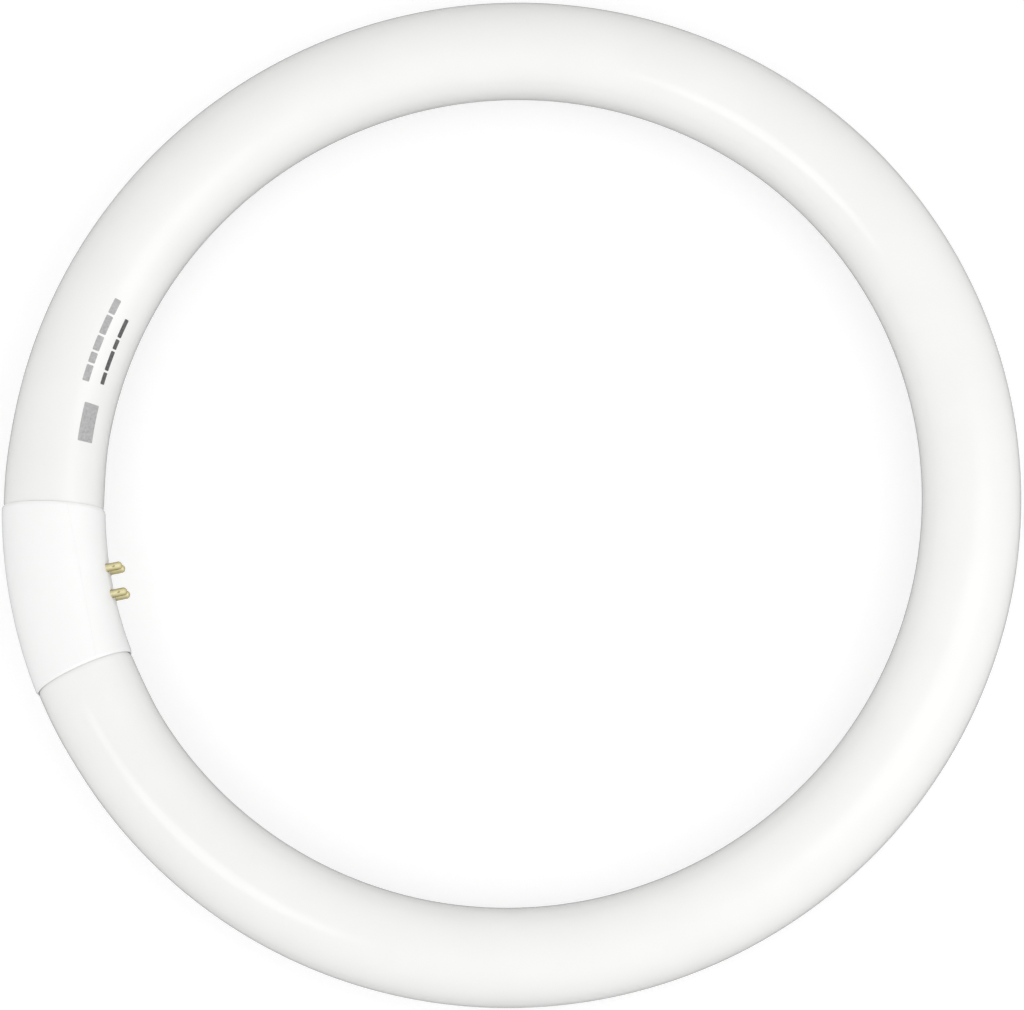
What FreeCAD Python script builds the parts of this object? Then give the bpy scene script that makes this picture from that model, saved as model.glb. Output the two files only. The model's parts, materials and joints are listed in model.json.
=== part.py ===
# Circular fluorescent lamp: a ring of glass tube whose two ends meet inside a four-pin cap.
# Millimetres. The origin is the middle of the ring, +Z is the ring's axis, the cap is centred on
# -X, and its contact pins point along +X, towards the middle of the ring.
# Angles are measured about Z from the middle of the cap, and are positive towards +Y.
import FreeCAD, Part
import math
import os

from FreeCAD import Vector

# Glass ring. Its ends are not bent and keep a fuller width, which the bend grows into.
RING_OUTER_DIAMETER = 300.0
TUBE_DIAMETER = 29.0
END_SWELL = 0.3
SWELL_LENGTH = 20.0
STRAIGHT_LENGTH = 6.0

# Shoulder that draws the glass in under the rim of the cap, and how much of it shows
SHOULDER_LENGTH = 7.0
SHOULDER_OUTSIDE = 1.5

# Closed end of the glass: rounded rim, sunken stem and sealed pumping stub
END_ROUNDING = 2.4
STEM_MOUTH_DIAMETER = 18.0
STEM_DIAMETER = 8.8
STEM_DEPTH = 10.0
STUB_DIAMETER = 3.8
STUB_REACH = 3.2
STUB_TIP_DIAMETER = 1.2
STUB_TIP_LENGTH = 1.8

# Cap: a bent sleeve in two moulded shells that lap at a seam across the pins
CAP_LENGTH = 50.6
CAP_STEP = 0.5
CAP_WALL = 1.5
RIM_BEVEL_DEPTH = 0.3
RIM_BEVEL_LENGTH = 0.8
SEAM_OFFSET = 8.2
SEAM_GAP = 0.02
TONGUE_THICKNESS = 0.65
TONGUE_HEIGHT = 1.5
TONGUE_LENGTH = 32.0

# Pad inside the cap that holds the pins
PAD_THICKNESS = 4.1
PAD_MARGIN = 3.4
PAD_ROUNDING = 2.0

# Four contact pins
PIN_DIAMETER = 2.35
PIN_SPACING = 7.92
PIN_ROW_SPACING = 6.35
PIN_LENGTH = 4.3
PIN_DOME = 0.9
PIN_ROOT_DIAMETER = 2.55
PIN_HEAD_DIAMETER = 3.6
PIN_HEAD_THICKNESS = 0.6
PIN_BORE_DEPTH = 5.5
CRIMP_DISTANCE = 2.5
CRIMP_DIAMETER = 1.0
CRIMP_DEPTH = 0.4

# Lead wires from the stems to the pins
LEAD_DIAMETER = 0.6
LEAD_BEND = 4.0

# Clearances
SEAT_CLEARANCE = 0.15
TONGUE_CLEARANCE = 0.1
PIN_CLEARANCE = 0.03
LEAD_CLEARANCE = 0.05
END_CLEARANCE = 0.8

ORIGIN = Vector(0, 0, 0)
X_AXIS = Vector(1, 0, 0)
Y_AXIS = Vector(0, 1, 0)
Z_AXIS = Vector(0, 0, 1)

# The middle line of the cap passes through the middle of the glass at both rims
tube_radius = TUBE_DIAMETER / 2
bend_radius = RING_OUTER_DIAMETER / 2 - tube_radius
cap_bend_radius = math.hypot(bend_radius, STRAIGHT_LENGTH)
rim_angle = CAP_LENGTH / 2 / cap_bend_radius
straight_angle = rim_angle + math.atan2(STRAIGHT_LENGTH, bend_radius)
swell_angle = straight_angle + SWELL_LENGTH / bend_radius

# Radii of the cap
swell_radius = tube_radius + END_SWELL
cap_radius = swell_radius + CAP_STEP
bore_radius = cap_radius - CAP_WALL
tongue_radius = bore_radius + TONGUE_THICKNESS

# Pad and pins, from back to front
pad_length = PIN_SPACING + 2 * PAD_MARGIN
pad_height = PIN_ROW_SPACING + 2 * PAD_MARGIN
cap_front = cap_radius - cap_bend_radius
pad_back = cap_front - PAD_THICKNESS
pin_back = pad_back - PIN_HEAD_THICKNESS
pin_tip = cap_front + PIN_LENGTH
pin_radius = PIN_DIAMETER / 2
root_radius = PIN_ROOT_DIAMETER / 2
seam = SEAM_OFFSET - cap_bend_radius
PIN_PLACES = [(side, row) for side in (1, -1) for row in (1, -1)]

# Reaches along the straight end of the tube, from where the bend stops.
# The glass stops short of the pad, and its neck is as wide as the bent bore lets it be.
shoulder_start = STRAIGHT_LENGTH - SHOULDER_OUTSIDE
shoulder_end = shoulder_start + SHOULDER_LENGTH
inner_side = (bend_radius - bore_radius) * math.sin(straight_angle)
glass_end = (inner_side - pad_length / 2 - END_CLEARANCE) / math.cos(straight_angle)
neck_lean = math.hypot(bend_radius, glass_end) - cap_bend_radius
neck_radius = bore_radius - neck_lean - SEAT_CLEARANCE
stem_bottom = glass_end - STEM_DEPTH
stub_tip = glass_end + STUB_REACH
stub_radius = STUB_DIAMETER / 2
lead_radius = LEAD_DIAMETER / 2

# The shoulder is two equal arcs, and the mouth of the cap is a cone that touches the first at the rim
shoulder_drop = swell_radius - neck_radius
shoulder_rounding = (SHOULDER_LENGTH**2 + shoulder_drop**2) / (4 * shoulder_drop)
mouth_slope = math.asin(SHOULDER_OUTSIDE / shoulder_rounding)
mouth_radius = swell_radius - shoulder_rounding * (1 - math.cos(mouth_slope)) + SEAT_CLEARANCE


def carried(shape, angle):
    """A shape made at the middle of the cap, carried round the ring."""
    return shape.rotated(ORIGIN, Z_AXIS, -math.degrees(angle))


def mirrored(shape):
    """The same shape on the other side of the cap."""
    return shape.mirror(ORIGIN, Y_AXIS)


def round_section(angle, middle_radius, radius):
    """Round cross-section of the ring or the cap."""
    circle = Part.makeCircle(radius, Vector(-middle_radius, 0, 0), Y_AXIS)
    return carried(Part.Wire(circle), angle)


def bent_rod(start, end, middle_radius, radius):
    """Round rod bent about the ring's axis."""
    disc = Part.Face(round_section(end, middle_radius, radius))
    return disc.revolve(ORIGIN, Z_AXIS, math.degrees(end - start))


def beside_axis(reach, radius):
    """Point beside the axis of the straight end of the tube."""
    return Vector(radius - bend_radius, -reach, 0)


def outline(points):
    """Straight lines from point to point of a profile."""
    places = [beside_axis(*point) for point in points]
    return [Part.makeLine(first, second) for first, second in zip(places, places[1:])]


def arc(centre, radius, start, turn):
    """Arc on a profile, with its angles measured from the reach towards the radius."""
    points = []
    for share in (0, 0.5, 1):
        angle = start + turn * share
        reach = centre[0] + radius * math.cos(angle)
        points.append(beside_axis(reach, centre[1] + radius * math.sin(angle)))
    return Part.Arc(*points).toShape()


def turned(edges):
    """Solid turned about the axis of the straight end of the tube."""
    profile = Part.Face(Part.Wire(Part.__sortEdges__(edges)))
    return carried(profile.revolve(beside_axis(0, 0), Y_AXIS, 360), straight_angle)


def swell():
    """Last of the bend, where the glass grows to the full width of its ends."""
    steps = 5
    sections = []
    for step in range(steps + 1):
        growth = END_SWELL * (1 + math.cos(math.pi * step / steps)) / 2
        angle = straight_angle + (swell_angle - straight_angle) * step / steps
        sections.append(round_section(angle, bend_radius, tube_radius + growth))
    return Part.makeLoft(sections, True, False)


def straight_end():
    """Shoulder, neck and rounded end of the glass, with the sealed stub standing out of it."""
    shoulder_turn = 2 * math.atan2(shoulder_drop, SHOULDER_LENGTH)
    crown = (shoulder_start, swell_radius - shoulder_rounding)
    hollow = (shoulder_end, neck_radius + shoulder_rounding)
    neck_end = glass_end - END_ROUNDING
    rim_radius = neck_radius - END_ROUNDING
    stub_straight = stub_tip - STUB_TIP_LENGTH
    return turned([
        *outline([(0, 0), (0, swell_radius), (shoulder_start, swell_radius)]),
        arc(crown, shoulder_rounding, math.pi / 2, -shoulder_turn),
        arc(hollow, shoulder_rounding, -math.pi / 2 - shoulder_turn, shoulder_turn),
        *outline([(shoulder_end, neck_radius), (neck_end, neck_radius)]),
        arc((neck_end, rim_radius), END_ROUNDING, 0, math.pi / 2),
        *outline([
            (glass_end, rim_radius),
            (glass_end, stub_radius),
            (stub_straight, stub_radius),
            (stub_tip, STUB_TIP_DIAMETER / 2),
            (stub_tip, 0),
            (0, 0),
        ]),
    ])


def stem_hollow():
    """Funnel around the stub, where the stem is sunk into the glass."""
    return turned(outline([
        (stem_bottom, stub_radius),
        (stem_bottom, STEM_DIAMETER / 2),
        (glass_end, STEM_MOUTH_DIAMETER / 2),
        (stub_tip, STEM_MOUTH_DIAMETER / 2),
        (stub_tip, stub_radius),
        (stem_bottom, stub_radius),
    ]))


def glass_tube():
    """The whole sealed bulb: one bend and two straight ends."""
    bend = bent_rod(swell_angle, 2 * math.pi - swell_angle, bend_radius, tube_radius)
    end = swell().fuse(straight_end()).cut(stem_hollow())
    return bend.fuse([end, mirrored(end)])


def beyond_rim():
    """What is trimmed off one end of the cap, outside its rim and the bevel round it."""
    outside = 2 * cap_radius
    bevel_start = cap_radius - RIM_BEVEL_DEPTH
    bevel_end = STRAIGHT_LENGTH + (outside - bevel_start) * RIM_BEVEL_LENGTH / RIM_BEVEL_DEPTH
    return turned(outline([
        (-STRAIGHT_LENGTH, 0),
        (-STRAIGHT_LENGTH, outside),
        (bevel_end, outside),
        (STRAIGHT_LENGTH, bevel_start),
        (STRAIGHT_LENGTH, 0),
        (-STRAIGHT_LENGTH, 0),
    ]))


def cap_mouth():
    """Conical mouth in one end of the cap, which seats on the shoulder of the glass."""
    slope = math.tan(mouth_slope)
    return turned(outline([
        (0, 0),
        (0, mouth_radius + STRAIGHT_LENGTH * slope),
        (shoulder_end, mouth_radius - (shoulder_end - STRAIGHT_LENGTH) * slope),
        (shoulder_end, 0),
        (0, 0),
    ]))


def cap_sleeve():
    """Both shells of the cap in one: a bent sleeve with bevelled rims and conical mouths."""
    body = bent_rod(-straight_angle, straight_angle, cap_bend_radius, cap_radius)
    bore = bent_rod(-rim_angle, rim_angle, cap_bend_radius, bore_radius)
    end_cuts = [beyond_rim(), cap_mouth()]
    return body.cut([bore, *end_cuts, *map(mirrored, end_cuts)])


def cap_slab(low, high):
    """All of the cap's width and height between two planes across the pins."""
    corner = Vector(low, -CAP_LENGTH, -CAP_LENGTH)
    return Part.makeBox(high - low, 2 * CAP_LENGTH, 2 * CAP_LENGTH, corner)


def tongue_rod(growth):
    """Slice of a bent rod whose skin is the outside of the tongues."""
    half_angle = (TONGUE_LENGTH / 2 + growth) / cap_bend_radius
    rod = bent_rod(-half_angle, half_angle, cap_bend_radius, tongue_radius + growth)
    return rod.common(cap_slab(seam, seam + TONGUE_HEIGHT + growth))


def cap_outer_shell(sleeve):
    """The larger shell, with a tongue on each edge that laps inside the smaller one."""
    shell = sleeve.common(cap_slab(-cap_bend_radius - 2 * cap_radius, seam))
    bore = bent_rod(-rim_angle, rim_angle, cap_bend_radius, bore_radius)
    return shell.fuse(tongue_rod(0).cut(bore)).removeSplitter()


def pin_pad():
    """Thick pad behind the pins, flat on the inside of the cap."""
    corner = Vector(pad_back, -pad_length / 2, -pad_height / 2)
    block = Part.makeBox(PAD_THICKNESS, pad_length, pad_height, corner)
    corners = [edge for edge in block.Edges if abs(edge.tangentAt(0).x) > 0.5]
    block = block.makeFillet(PAD_ROUNDING, corners)
    return block.common(bent_rod(-rim_angle, rim_angle, cap_bend_radius, bore_radius + CAP_WALL / 2))


def along_pin(start, end, radius, side, row):
    """Round rod on the axis of one pin."""
    foot = Vector(start, side * PIN_SPACING / 2, row * PIN_ROW_SPACING / 2)
    return Part.makeCylinder(radius, end - start, foot, X_AXIS)


def cap_inner_shell(sleeve):
    """The smaller shell, which carries the pins."""
    shell = sleeve.common(cap_slab(seam + SEAM_GAP, 0)).fuse(pin_pad())
    cuts = [tongue_rod(TONGUE_CLEARANCE)]
    for side, row in PIN_PLACES:
        cuts.append(along_pin(pad_back, pin_tip, root_radius + PIN_CLEARANCE, side, row))
    return shell.cut(cuts).removeSplitter()


def contact_pin(side, row):
    """Domed pin with a fuller root, a head inside the cap, a bore for its lead and two crimp dents."""
    foot = Vector(0, side * PIN_SPACING / 2, row * PIN_ROW_SPACING / 2)
    dome_radius = (pin_radius**2 + PIN_DOME**2) / (2 * PIN_DOME)
    dome = Part.makeSphere(dome_radius, foot + X_AXIS * (pin_tip - dome_radius))
    shank = along_pin(cap_front, pin_tip - PIN_DOME, pin_radius, side, row)
    nose = along_pin(pin_tip - PIN_DOME, pin_tip, pin_radius, side, row).common(dome)
    root = along_pin(pad_back, cap_front, root_radius, side, row)
    head = along_pin(pin_back, pad_back, PIN_HEAD_DIAMETER / 2, side, row)
    bore_end = pin_back + PIN_BORE_DEPTH
    cuts = [along_pin(pin_back, bore_end, lead_radius + LEAD_CLEARANCE, side, row)]
    for up in (Z_AXIS, -Z_AXIS):
        bottom = foot + X_AXIS * (pin_tip - CRIMP_DISTANCE) + up * (pin_radius - CRIMP_DEPTH)
        cuts.append(Part.makeCone(0, CRIMP_DIAMETER, 2 * CRIMP_DEPTH, bottom, up))
    return shank.fuse([nose, root, head]).cut(cuts)


def lead_wire(side, row):
    """Bent wire from the bottom of a stem straight out of the glass and then into its pin."""
    out_of_glass = Vector(-math.sin(straight_angle), -math.cos(straight_angle), 0)
    bend_end = Vector(-math.cos(straight_angle), math.sin(straight_angle), 0) * bend_radius
    start = bend_end + out_of_glass * stem_bottom + Z_AXIS * (row * PIN_ROW_SPACING / 2)
    turn = math.pi / 2 + straight_angle
    cut_back = LEAD_BEND * math.tan(turn / 2)
    run = (start.y - PIN_SPACING / 2) / math.cos(straight_angle)
    corner = start + out_of_glass * run
    arc_start = corner - out_of_glass * cut_back
    arc_end = corner + X_AXIS * cut_back
    bore_end = pin_back + PIN_BORE_DEPTH - LEAD_CLEARANCE
    disc = Part.Face(Part.Wire(Part.makeCircle(lead_radius, arc_start, out_of_glass)))
    bend = disc.revolve(arc_end + Y_AXIS * LEAD_BEND, Z_AXIS, math.degrees(turn))
    first = Part.makeCylinder(lead_radius, run - cut_back, start, out_of_glass)
    second = Part.makeCylinder(lead_radius, bore_end - arc_end.x, arc_end, X_AXIS)
    wire = first.fuse([bend, second])
    return wire if side > 0 else mirrored(wire)


sleeve = cap_sleeve()
nodes = {
    "glass_tube": glass_tube(),
    "cap_outer_shell": cap_outer_shell(sleeve),
    "cap_inner_shell": cap_inner_shell(sleeve),
}
for number, (side, row) in enumerate(PIN_PLACES, start=1):
    nodes[f"contact_pin_{number}"] = contact_pin(side, row)
    nodes[f"lead_wire_{number}"] = lead_wire(side, row)

os.makedirs("parts", exist_ok=True)
for name, shape in nodes.items():
    shape.exportStep(f"parts/{name}.step")
    print(name, "valid" if shape.isValid() else "not valid", len(shape.Solids), round(shape.Volume, 2))
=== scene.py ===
import json
import math

import bmesh
import bpy
from mathutils import Matrix, Vector


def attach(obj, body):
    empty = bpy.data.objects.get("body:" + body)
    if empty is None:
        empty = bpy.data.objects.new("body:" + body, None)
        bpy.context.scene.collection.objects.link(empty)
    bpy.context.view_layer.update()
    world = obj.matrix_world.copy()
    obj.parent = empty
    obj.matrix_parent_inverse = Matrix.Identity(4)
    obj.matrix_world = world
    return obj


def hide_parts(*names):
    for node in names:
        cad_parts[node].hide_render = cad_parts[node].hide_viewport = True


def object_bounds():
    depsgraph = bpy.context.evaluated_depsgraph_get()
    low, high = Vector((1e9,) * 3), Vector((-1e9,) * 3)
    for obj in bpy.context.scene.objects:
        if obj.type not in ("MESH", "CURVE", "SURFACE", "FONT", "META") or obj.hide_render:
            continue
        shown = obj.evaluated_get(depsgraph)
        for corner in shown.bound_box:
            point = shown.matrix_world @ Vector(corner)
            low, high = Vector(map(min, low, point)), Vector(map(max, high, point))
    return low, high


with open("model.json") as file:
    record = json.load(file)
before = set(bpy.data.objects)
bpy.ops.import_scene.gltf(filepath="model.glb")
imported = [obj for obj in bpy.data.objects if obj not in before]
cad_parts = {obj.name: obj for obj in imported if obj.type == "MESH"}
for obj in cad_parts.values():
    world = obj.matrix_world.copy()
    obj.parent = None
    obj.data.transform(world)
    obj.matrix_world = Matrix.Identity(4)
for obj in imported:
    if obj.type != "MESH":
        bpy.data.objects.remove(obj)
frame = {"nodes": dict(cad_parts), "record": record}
cad_low, cad_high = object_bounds()

# Sizes of the lamp, in metres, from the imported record
MOUNTS = {mount["name"]: mount for mount in frame["record"]["mounts"]}
BEND_RADIUS = MOUNTS["tube_clip"]["pos_m"][0]
TUBE_RADIUS = MOUNTS["tube_clip"]["dims"]["r_mm"] / 1000

# Ends of the glass, in metres and in radians round the ring: the bend stops short of the middle of the cap,
# and the tube grows a little fuller towards that place
STRAIGHT_ANGLE = 0.2308
SWELL_ANGLE = 0.1476
SWELL = 0.0003
SWELL_RADIUS = TUBE_RADIUS + SWELL

# Closed end of the glass, measured along it from where the bend stops: shoulder, neck, stem and stub
SHOULDER_START = 0.0045
SHOULDER_LENGTH = 0.007
NECK_RADIUS = 0.01228
GLASS_END = 0.02021
END_ROUNDING = 0.0024
STEM_MOUTH_RADIUS = 0.009
STEM_RADIUS = 0.0044
STEM_DEPTH = 0.010
STUB_RADIUS = 0.0019
STUB_REACH = 0.0032
STUB_TIP_RADIUS = 0.0006
STUB_TIP_LENGTH = 0.0018

# Plain printed marks on the glass beside the cap: a block and two rows of dashes.
# Places are the distance along the tube from the middle of the cap and the distance across it from its top.
INK_THICKNESS = 0.00004
PRINT_GAP = 0.0007
PRINT_ROUNDING = 0.0003
BLOCK = {"start": 0.0448, "across": 0.0104, "height": 0.0050, "dashes": (0.0124,)}
FIRST_DASHES = (0.0052, 0.0034, 0.0048, 0.0062, 0.0050)
SECOND_DASHES = (0.0040, 0.0066, 0.0034, 0.0064)
FIRST_ROW = {"start": 0.0635, "across": 0.0064, "height": 0.0021, "dashes": FIRST_DASHES}
SECOND_ROW = {"start": 0.0642, "across": 0.0119, "height": 0.0014, "dashes": SECOND_DASHES}

# Steps of the meshes: counts for the glass and for round corners, lengths for the print
STEPS_AROUND = 112
STEPS_ALONG = 560
STEPS_OF_ARC = 10
STEPS_OF_PRINT_CORNER = 3
PRINT_STEP_ALONG = 0.0008
PRINT_STEP_ACROSS = 0.0005
SHARP_ANGLE = math.radians(35)

# Range of a noise that is spread out over the whole range of a look
NOISE_LOW = 0.3
NOISE_HIGH = 0.7

# Picture, in pixels: its size, and the width and the middle of the ring in it
FRAME_WIDTH = 1024
FRAME_HEIGHT = 1010
RING_PIXELS = 1018
RING_MIDDLE = (510.1, 498.2)

# Camera above the ring, in metres and degrees, with its sensor in millimetres.
# The cap lies a little below the left of the picture.
CAP_TURN = math.radians(11.4)
CAMERA_DISTANCE = 1.61
CAMERA_BEARING = 292.4
CAMERA_LEAN = 10.6
SENSOR_WIDTH = 36.0

# Soft light all round: its strength low down, what it loses towards overhead, what it gains at left and
# right, and what it gains towards one bearing of the picture
LOW_LIGHT = 1.46
OVERHEAD_LOSS = 1.3
SIDE_GAIN = 0.8
BEARING_GAIN = 0.15
BRIGHT_BEARING = 295

# Fade of a round lamp, in shares of its diameter from its middle: full as far as the core, none at the rim
LAMP_MIDDLE = (0.5, 0.5, 0)
LAMP_CORE = 0.2
LAMP_RIM = 0.5

# Floor: its grey as it lights the lamp, its grey as it is seen, and the glow that makes it look white
FLOOR_BOUNCE = 0.12
FLOOR_GREY = 0.45
FLOOR_GLOW = 0.64
FLOOR_HALF_WIDTH = 4.0

# Directions of the picture in the lamp's own frame
picture_right = Vector((math.cos(CAP_TURN), -math.sin(CAP_TURN), 0))
picture_up = Vector((math.sin(CAP_TURN), math.cos(CAP_TURN), 0))
upright = Vector((0, 0, 1))


def from_picture(bearing, lean, distance):
    """Point at a bearing in the picture, from its right towards its top, leaning off the upright."""
    bearing, lean = math.radians(bearing), math.radians(lean)
    level = picture_right * math.cos(bearing) + picture_up * math.sin(bearing)
    return (level * math.sin(lean) + upright * math.cos(lean)) * distance


def add_object(name, data):
    """New object in the scene."""
    item = bpy.data.objects.new(name, data)
    bpy.context.scene.collection.objects.link(item)
    return item


def new_material(name):
    """Material with its node tree and its main shader."""
    material = bpy.data.materials.new(name)
    material.use_nodes = True
    tree = material.node_tree
    return material, tree, tree.nodes["Principled BSDF"]


def feed(tree, node, inputs):
    """Sets inputs of a node to values, or links them to sockets."""
    for socket, value in inputs.items():
        if isinstance(value, bpy.types.NodeSocket):
            tree.links.new(value, node.inputs[socket])
        else:
            node.inputs[socket].default_value = value


def add_node(tree, kind, inputs=None, **settings):
    """Node with its settings and its inputs."""
    node = tree.nodes.new(kind)
    for setting, value in settings.items():
        setattr(node, setting, value)
    feed(tree, node, inputs or {})
    return node


def calculate(tree, operation, *numbers):
    """Result of an operation on numbers or sockets."""
    return add_node(tree, "ShaderNodeMath", dict(enumerate(numbers)), operation=operation).outputs[0]


def along(tree, direction, way):
    """How far a direction points along a way, times the length of the way."""
    inputs = {0: direction, 1: way}
    return add_node(tree, "ShaderNodeVectorMath", inputs, operation="DOT_PRODUCT").outputs["Value"]


def noise(tree, scale, detail=2.0):
    """Noise in the lamp's own frame, with its scale in features per metre."""
    place = add_node(tree, "ShaderNodeTexCoord").outputs["Object"]
    inputs = {"Vector": place, "Scale": scale, "Detail": detail}
    return add_node(tree, "ShaderNodeTexNoise", inputs).outputs["Fac"]


def uneven(tree, factor, low, high):
    """Number that wanders between two numbers with a noise."""
    inputs = {"Value": factor, "From Min": NOISE_LOW, "From Max": NOISE_HIGH, "To Min": low, "To Max": high}
    return add_node(tree, "ShaderNodeMapRange", inputs).outputs["Result"]


def between(tree, factor, first, second):
    """Colour between two colours."""
    mix = add_node(tree, "ShaderNodeMix", {"Factor": factor}, data_type="RGBA")
    for socket, colour in (("A", first), ("B", second)):
        target = next(i for i in mix.inputs if i.name == socket and i.type == "RGBA")
        target.default_value = (*colour, 1)
    return next(o for o in mix.outputs if o.type == "RGBA")


def mottled(tree, factor, first, second):
    """Colour that wanders between two colours with a noise."""
    return between(tree, uneven(tree, factor, 0, 1), first, second)


def bump(tree, height, strength, distance):
    """Fine unevenness of a surface."""
    inputs = {"Height": height, "Strength": strength, "Distance": distance}
    return add_node(tree, "ShaderNodeBump", inputs).outputs["Normal"]


# Painted shade: the tint darkens a surface more the more edge-on it is seen, standing in for dark
# surroundings reflected at its edges
def tint_and_painted_edge_shade(roughness, tint):
    """Coat that tints a surface and adds no gloss, and paints shade on it that deepens where it is seen
    edge-on.
    """
    return {"Coat Weight": 1.0, "Coat Roughness": roughness, "Coat IOR": 1.0, "Coat Tint": (*tint, 1)}


def coated_glass():
    """White powder behind clear glass: faintly uneven white under a faint grey tint, with painted shade where
    the wall is seen edge-on.
    """
    material, tree, shader = new_material("coated_glass")
    patches = noise(tree, scale=45.0, detail=3.0)
    feed(tree, shader, {
        "Base Color": mottled(tree, patches, (0.905, 0.907, 0.888), (0.925, 0.926, 0.912)),
        "Roughness": 0.08,
        # Faint grey tint, with painted shade where the glass is seen edge-on
        **tint_and_painted_edge_shade(roughness=0.08, tint=(0.93, 0.93, 0.93)),
    })
    return material


def cap_plastic():
    """Satin white moulded plastic under a faint grey tint, with painted shade where it is seen edge-on."""
    material, tree, shader = new_material("cap_plastic")
    feed(tree, shader, {
        "Base Color": mottled(tree, noise(tree, scale=90.0), (0.925, 0.925, 0.92), (0.94, 0.94, 0.935)),
        "Roughness": uneven(tree, noise(tree, scale=400.0), 0.32, 0.42),
        "Normal": bump(tree, noise(tree, scale=2600.0), strength=0.08, distance=0.0002),
        # Faint grey tint, with painted shade where the cap is seen edge-on
        **tint_and_painted_edge_shade(roughness=0.35, tint=(0.96, 0.96, 0.96)),
    })
    return material


def pin_brass():
    """Drawn brass with faint marks of handling, under a yellowish tint that sets its colour and paints shade
    where it is seen edge-on.
    """
    material, tree, shader = new_material("pin_brass")
    feed(tree, shader, {
        "Base Color": mottled(tree, noise(tree, scale=350.0), (0.95, 0.92, 0.74), (1.0, 0.98, 0.84)),
        "Metallic": 1.0,
        "Roughness": uneven(tree, noise(tree, scale=500.0), 0.40, 0.52),
        # Yellowish tint that sets the brass colour, with painted shade where the pin is seen edge-on
        **tint_and_painted_edge_shade(roughness=0.25, tint=(0.73, 0.69, 0.52)),
    })
    return material


def lead_metal():
    """Bare drawn wire."""
    material, tree, shader = new_material("lead_metal")
    feed(tree, shader, {
        "Base Color": mottled(tree, noise(tree, scale=700.0), (0.55, 0.53, 0.50), (0.70, 0.68, 0.65)),
        "Metallic": 1.0,
        "Roughness": 0.35,
    })
    return material


def print_ink(name, thin, full):
    """Thin ink, a little uneven, between the greys of its thin and its full patches."""
    material, tree, shader = new_material(name)
    patches = noise(tree, scale=1200.0, detail=3.0)
    feed(tree, shader, {
        "Base Color": mottled(tree, patches, (full, full, full), (thin, thin, thin)),
        "Roughness": 0.45,
    })
    return material


def arc(centre, radius, start, turn):
    """Reaches and radii of points on an arc of the outline, with angles from the reach to the radius."""
    angles = [start + turn * step / STEPS_OF_ARC for step in range(STEPS_OF_ARC + 1)]
    return [(centre[0] + radius * math.cos(a), centre[1] + radius * math.sin(a)) for a in angles]


def end_outline():
    """Outline of the closed end of the glass, from the last of the bend to the tip of the stub."""
    drop = SWELL_RADIUS - NECK_RADIUS
    rounding = (SHOULDER_LENGTH**2 + drop**2) / (4 * drop)
    turn = 2 * math.atan2(drop, SHOULDER_LENGTH)
    shoulder_end = SHOULDER_START + SHOULDER_LENGTH
    neck_end = GLASS_END - END_ROUNDING
    stub_tip = GLASS_END + STUB_REACH
    crown = arc((SHOULDER_START, SWELL_RADIUS - rounding), rounding, math.pi / 2, -turn)
    hollow = arc((shoulder_end, NECK_RADIUS + rounding), rounding, -math.pi / 2 - turn, turn)
    rim = arc((neck_end, NECK_RADIUS - END_ROUNDING), END_ROUNDING, math.pi / 2, -math.pi / 2)
    return [
        *crown,
        *hollow[1:],
        *rim,
        (GLASS_END, STEM_MOUTH_RADIUS),
        (GLASS_END - STEM_DEPTH, STEM_RADIUS),
        (GLASS_END - STEM_DEPTH, STUB_RADIUS),
        (stub_tip - STUB_TIP_LENGTH, STUB_RADIUS),
        (stub_tip, STUB_TIP_RADIUS),
    ]


def tube_radius(angle):
    """Radius of the bent tube, which grows towards its ends."""
    from_end = min(angle, 2 * math.pi - angle) - STRAIGHT_ANGLE
    share = min(from_end / SWELL_ANGLE, 1)
    return TUBE_RADIUS + SWELL * (1 + math.cos(math.pi * share)) / 2


def on_tube(angle, reach, radius, around):
    """Point at an angle round the ring from the cap, a reach straight on, and round the tube from outside."""
    outward = Vector((-math.cos(angle), math.sin(angle), 0))
    onward = Vector((math.sin(angle), math.cos(angle), 0))
    middle = outward * BEND_RADIUS + onward * reach
    return middle + (outward * math.cos(around) + upright * math.sin(around)) * radius


def link_mesh(name, shape, material):
    """Smooth-shaded object from a finished shape, fixed to the lamp."""
    bmesh.ops.recalc_face_normals(shape, faces=shape.faces)
    mesh = bpy.data.meshes.new(name)
    shape.to_mesh(mesh)
    shape.free()
    mesh.polygons.foreach_set("use_smooth", [True] * len(mesh.polygons))
    mesh.set_sharp_from_angle(angle=SHARP_ANGLE)
    mesh.materials.append(material)
    piece = add_object(name, mesh)
    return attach(piece, "root")


def make_glass(material):
    """The whole sealed bulb as one smooth closed skin: two shaped ends and the bend between them."""
    last_angle = 2 * math.pi - STRAIGHT_ANGLE
    outline = end_outline()
    places = [(STRAIGHT_ANGLE, -reach, radius) for reach, radius in reversed(outline)]
    for step in range(STEPS_ALONG + 1):
        angle = STRAIGHT_ANGLE + (last_angle - STRAIGHT_ANGLE) * step / STEPS_ALONG
        places.append((angle, 0, tube_radius(angle)))
    places += [(last_angle, reach, radius) for reach, radius in outline]
    shape = bmesh.new()
    turns = [2 * math.pi * step / STEPS_AROUND for step in range(STEPS_AROUND)]
    rings = [[shape.verts.new(on_tube(*place, turn)) for turn in turns] for place in places]
    for first, second in zip(rings, rings[1:]):
        for step in range(STEPS_AROUND):
            shape.faces.new((first[step - 1], first[step], second[step], second[step - 1]))
    shape.faces.new(rings[0])
    shape.faces.new(rings[-1])
    glass = link_mesh("glass_ring", shape, material)
    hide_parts("glass_tube")


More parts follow.
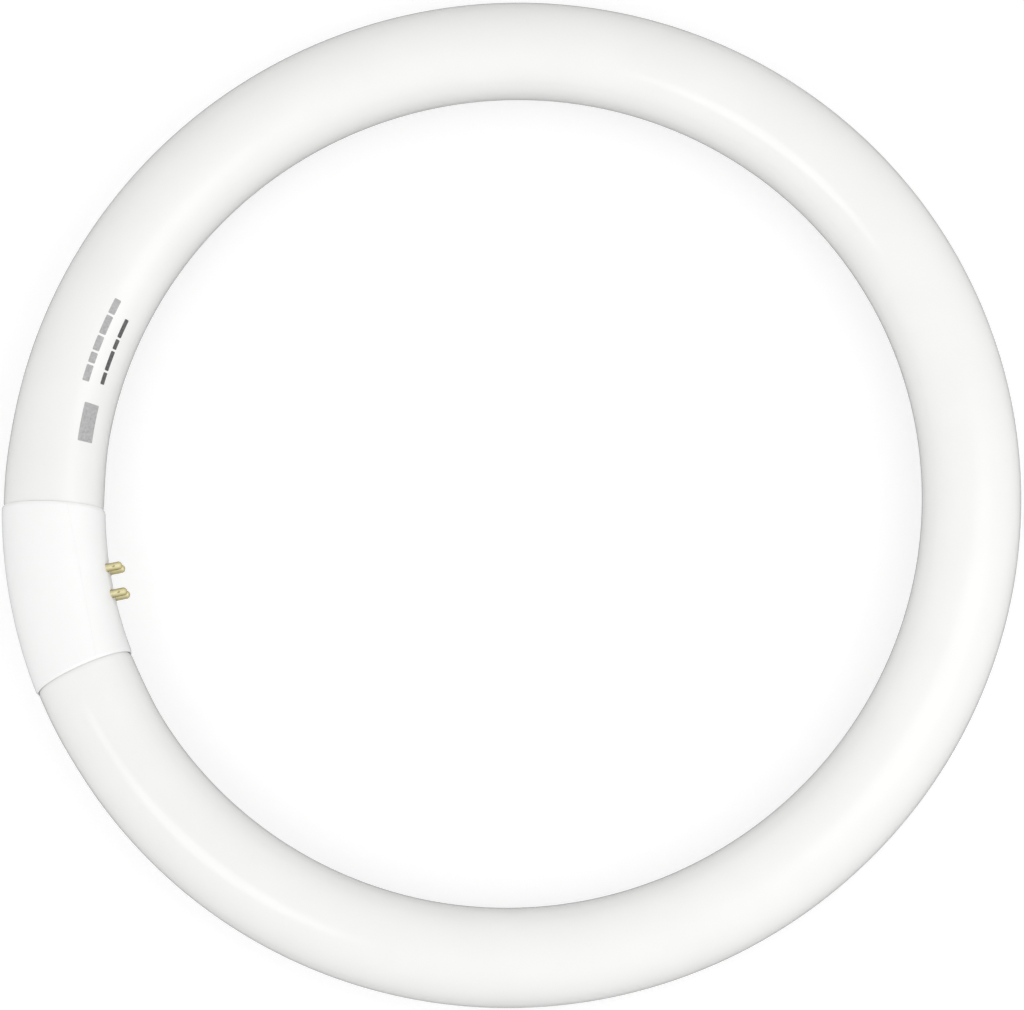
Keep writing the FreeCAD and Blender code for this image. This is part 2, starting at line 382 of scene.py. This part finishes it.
def dash_rows(length, height):
    """Rows of a dash with rounded corners: how far across each lies, and where it starts and ends."""
    flat = height / 2 - PRINT_ROUNDING
    corner = []
    for step in range(1, STEPS_OF_PRINT_CORNER + 1):
        turn = math.pi / 2 * step / STEPS_OF_PRINT_CORNER
        corner.append((PRINT_ROUNDING * math.sin(turn), PRINT_ROUNDING * (1 - math.cos(turn))))
    steps = max(1, round(2 * flat / PRINT_STEP_ACROSS))
    rows = [(-flat - rise, inset, length - inset) for rise, inset in reversed(corner)]
    rows += [(flat * (2 * step / steps - 1), 0, length) for step in range(steps + 1)]
    rows += [(flat + rise, inset, length - inset) for rise, inset in corner]
    return rows


def edge_of(layer):
    """Points round the edge of a layer of ink, in order."""
    left = [row[0] for row in layer[-2:0:-1]]
    right = [row[-1] for row in layer[1:-1]]
    return [*layer[0], *right, *reversed(layer[-1]), *left]


def add_dash(shape, start, across, length, height):
    """Closed thin slab of ink that follows the skin of the tube."""
    steps = max(2, round(length / PRINT_STEP_ALONG))
    layers = []
    for lift in (0, INK_THICKNESS):
        layer = []
        for offset, first, last in dash_rows(length, height):
            around = math.pi / 2 + (across + offset) / TUBE_RADIUS
            row = []
            for step in range(steps + 1):
                angle = (start + first + (last - first) * step / steps) / BEND_RADIUS
                row.append(shape.verts.new(on_tube(angle, 0, tube_radius(angle) + lift, around)))
            layer.append(row)
        layers.append(layer)
    for layer in layers:
        for row, above in zip(layer, layer[1:]):
            for step in range(steps):
                shape.faces.new((row[step], row[step + 1], above[step + 1], above[step]))
    low_edge, high_edge = (edge_of(layer) for layer in layers)
    for step in range(len(low_edge)):
        shape.faces.new((low_edge[step - 1], low_edge[step], high_edge[step], high_edge[step - 1]))


def make_print(name, rows, material):
    """Plain marks in one ink where such a lamp is printed."""
    shape = bmesh.new()
    for row in rows:
        start = row["start"]
        for length in row["dashes"]:
            add_dash(shape, start, row["across"], length, row["height"])
            start += length + PRINT_GAP
    link_mesh(name, shape, material)


def dress_nodes(looks):
    """Gives every solid the material of its slot."""
    for subpart in frame["record"]["subparts"]:
        for slot in frame["nodes"][subpart["node"]].material_slots:
            slot.material = looks[subpart["material_slot"]]


def seen_share(tree):
    """One where the eye, a reflection or a see-through surface looks, and nothing for other light."""
    path = add_node(tree, "ShaderNodeLightPath").outputs
    seen = calculate(tree, "MAXIMUM", path["Is Camera Ray"], path["Is Glossy Ray"])
    return calculate(tree, "MAXIMUM", seen, path["Is Transmission Ray"])


def make_floor():
    """Floor that looks white and keeps a soft shadow of the lamp."""
    mesh = bpy.data.meshes.new("floor")
    corners = [(-1, -1), (1, -1), (1, 1), (-1, 1)]
    points = [(x * FLOOR_HALF_WIDTH, y * FLOOR_HALF_WIDTH, cad_low.z) for x, y in corners]
    mesh.from_pydata(points, [], [(0, 1, 2, 3)])
    floor = add_object("floor", mesh)
    material, tree, shader = new_material("floor")
    seen = seen_share(tree)
    feed(tree, shader, {
        "Base Color": between(tree, seen, (FLOOR_BOUNCE,) * 3, (FLOOR_GREY,) * 3),
        "Roughness": 1.0,
        "Specular IOR Level": 0.0,
        "Emission Color": (1, 1, 1, 1),
        "Emission Strength": calculate(tree, "MULTIPLY", seen, FLOOR_GLOW),
    })
    mesh.materials.append(material)


def make_world():
    """Soft light from all round, strongest at left and right and weakest overhead, white where it is seen."""
    world = bpy.data.worlds.new("world")
    world.use_nodes = True
    tree = world.node_tree
    direction = add_node(tree, "ShaderNodeTexCoord").outputs["Generated"]
    slope = from_picture(BRIGHT_BEARING, 90, BEARING_GAIN) - upright * OVERHEAD_LOSS
    sideways = calculate(tree, "ABSOLUTE", along(tree, direction, picture_right))
    change = calculate(tree, "MULTIPLY_ADD", sideways, SIDE_GAIN, along(tree, direction, slope))
    light = calculate(tree, "ADD", change, LOW_LIGHT)
    inputs = {"Value": seen_share(tree), "To Min": light, "To Max": 1.0}
    strength = add_node(tree, "ShaderNodeMapRange", inputs).outputs["Result"]
    feed(tree, tree.nodes["Background"], {"Color": (1, 1, 1, 1), "Strength": strength})
    bpy.context.scene.world = world


def make_softbox(name, bearing, lean, distance, diameter, watts):
    """Round lamp that faces the middle of the ring and fades towards its rim."""
    data = bpy.data.lights.new(name, "AREA")
    data.shape = "DISK"
    data.size = diameter
    data.energy = watts
    data.use_nodes = True
    tree = data.node_tree
    place = add_node(tree, "ShaderNodeNewGeometry").outputs["Parametric"]
    inputs = {0: place, 1: LAMP_MIDDLE}
    from_middle = add_node(tree, "ShaderNodeVectorMath", inputs, operation="DISTANCE").outputs["Value"]
    inputs = {"Value": from_middle, "From Min": LAMP_CORE, "From Max": LAMP_RIM, "To Min": 1.0, "To Max": 0.0}
    fade = add_node(tree, "ShaderNodeMapRange", inputs, interpolation_type="SMOOTHSTEP")
    feed(tree, tree.nodes["Emission"], {"Strength": fade.outputs["Result"]})
    softbox = add_object(name, data)
    softbox.location = from_picture(bearing, lean, distance)
    softbox.rotation_euler = softbox.location.to_track_quat("Z", "Y").to_euler()


def make_camera():
    """Camera above the ring, turned so that the cap lies as in the picture."""
    data = bpy.data.cameras.new("camera")
    data.sensor_width = SENSOR_WIDTH
    frame_size = 2 * (BEND_RADIUS + TUBE_RADIUS) * FRAME_WIDTH / RING_PIXELS
    data.lens = SENSOR_WIDTH * CAMERA_DISTANCE / frame_size
    data.shift_x = (FRAME_WIDTH / 2 - RING_MIDDLE[0]) / FRAME_WIDTH
    data.shift_y = (RING_MIDDLE[1] - FRAME_HEIGHT / 2) / FRAME_WIDTH
    camera = add_object("camera", data)
    location = from_picture(CAMERA_BEARING, CAMERA_LEAN, CAMERA_DISTANCE)
    back = location.normalized()
    right = picture_up.cross(back).normalized()
    turn = Matrix((right, back.cross(right), back)).transposed()
    camera.matrix_world = Matrix.Translation(location) @ turn.to_4x4()
    bpy.context.scene.camera = camera


looks = {
    "coated_glass": coated_glass(),
    "cap_plastic": cap_plastic(),
    "pin_brass": pin_brass(),
    "lead_metal": lead_metal(),
}
dress_nodes(looks)
make_glass(looks["coated_glass"])
make_print("pale_marks", (BLOCK, FIRST_ROW), print_ink("pale_ink", thin=0.46, full=0.34))
make_print("dark_marks", (SECOND_ROW,), print_ink("dark_ink", thin=0.12, full=0.06))
make_floor()
make_world()
make_softbox("softbox_right", bearing=345, lean=38, distance=0.6, diameter=0.68, watts=1.0)
make_softbox("softbox_left", bearing=215, lean=32, distance=0.9, diameter=0.5, watts=1.0)
make_camera()
bpy.context.scene.view_settings.view_transform = "Standard"
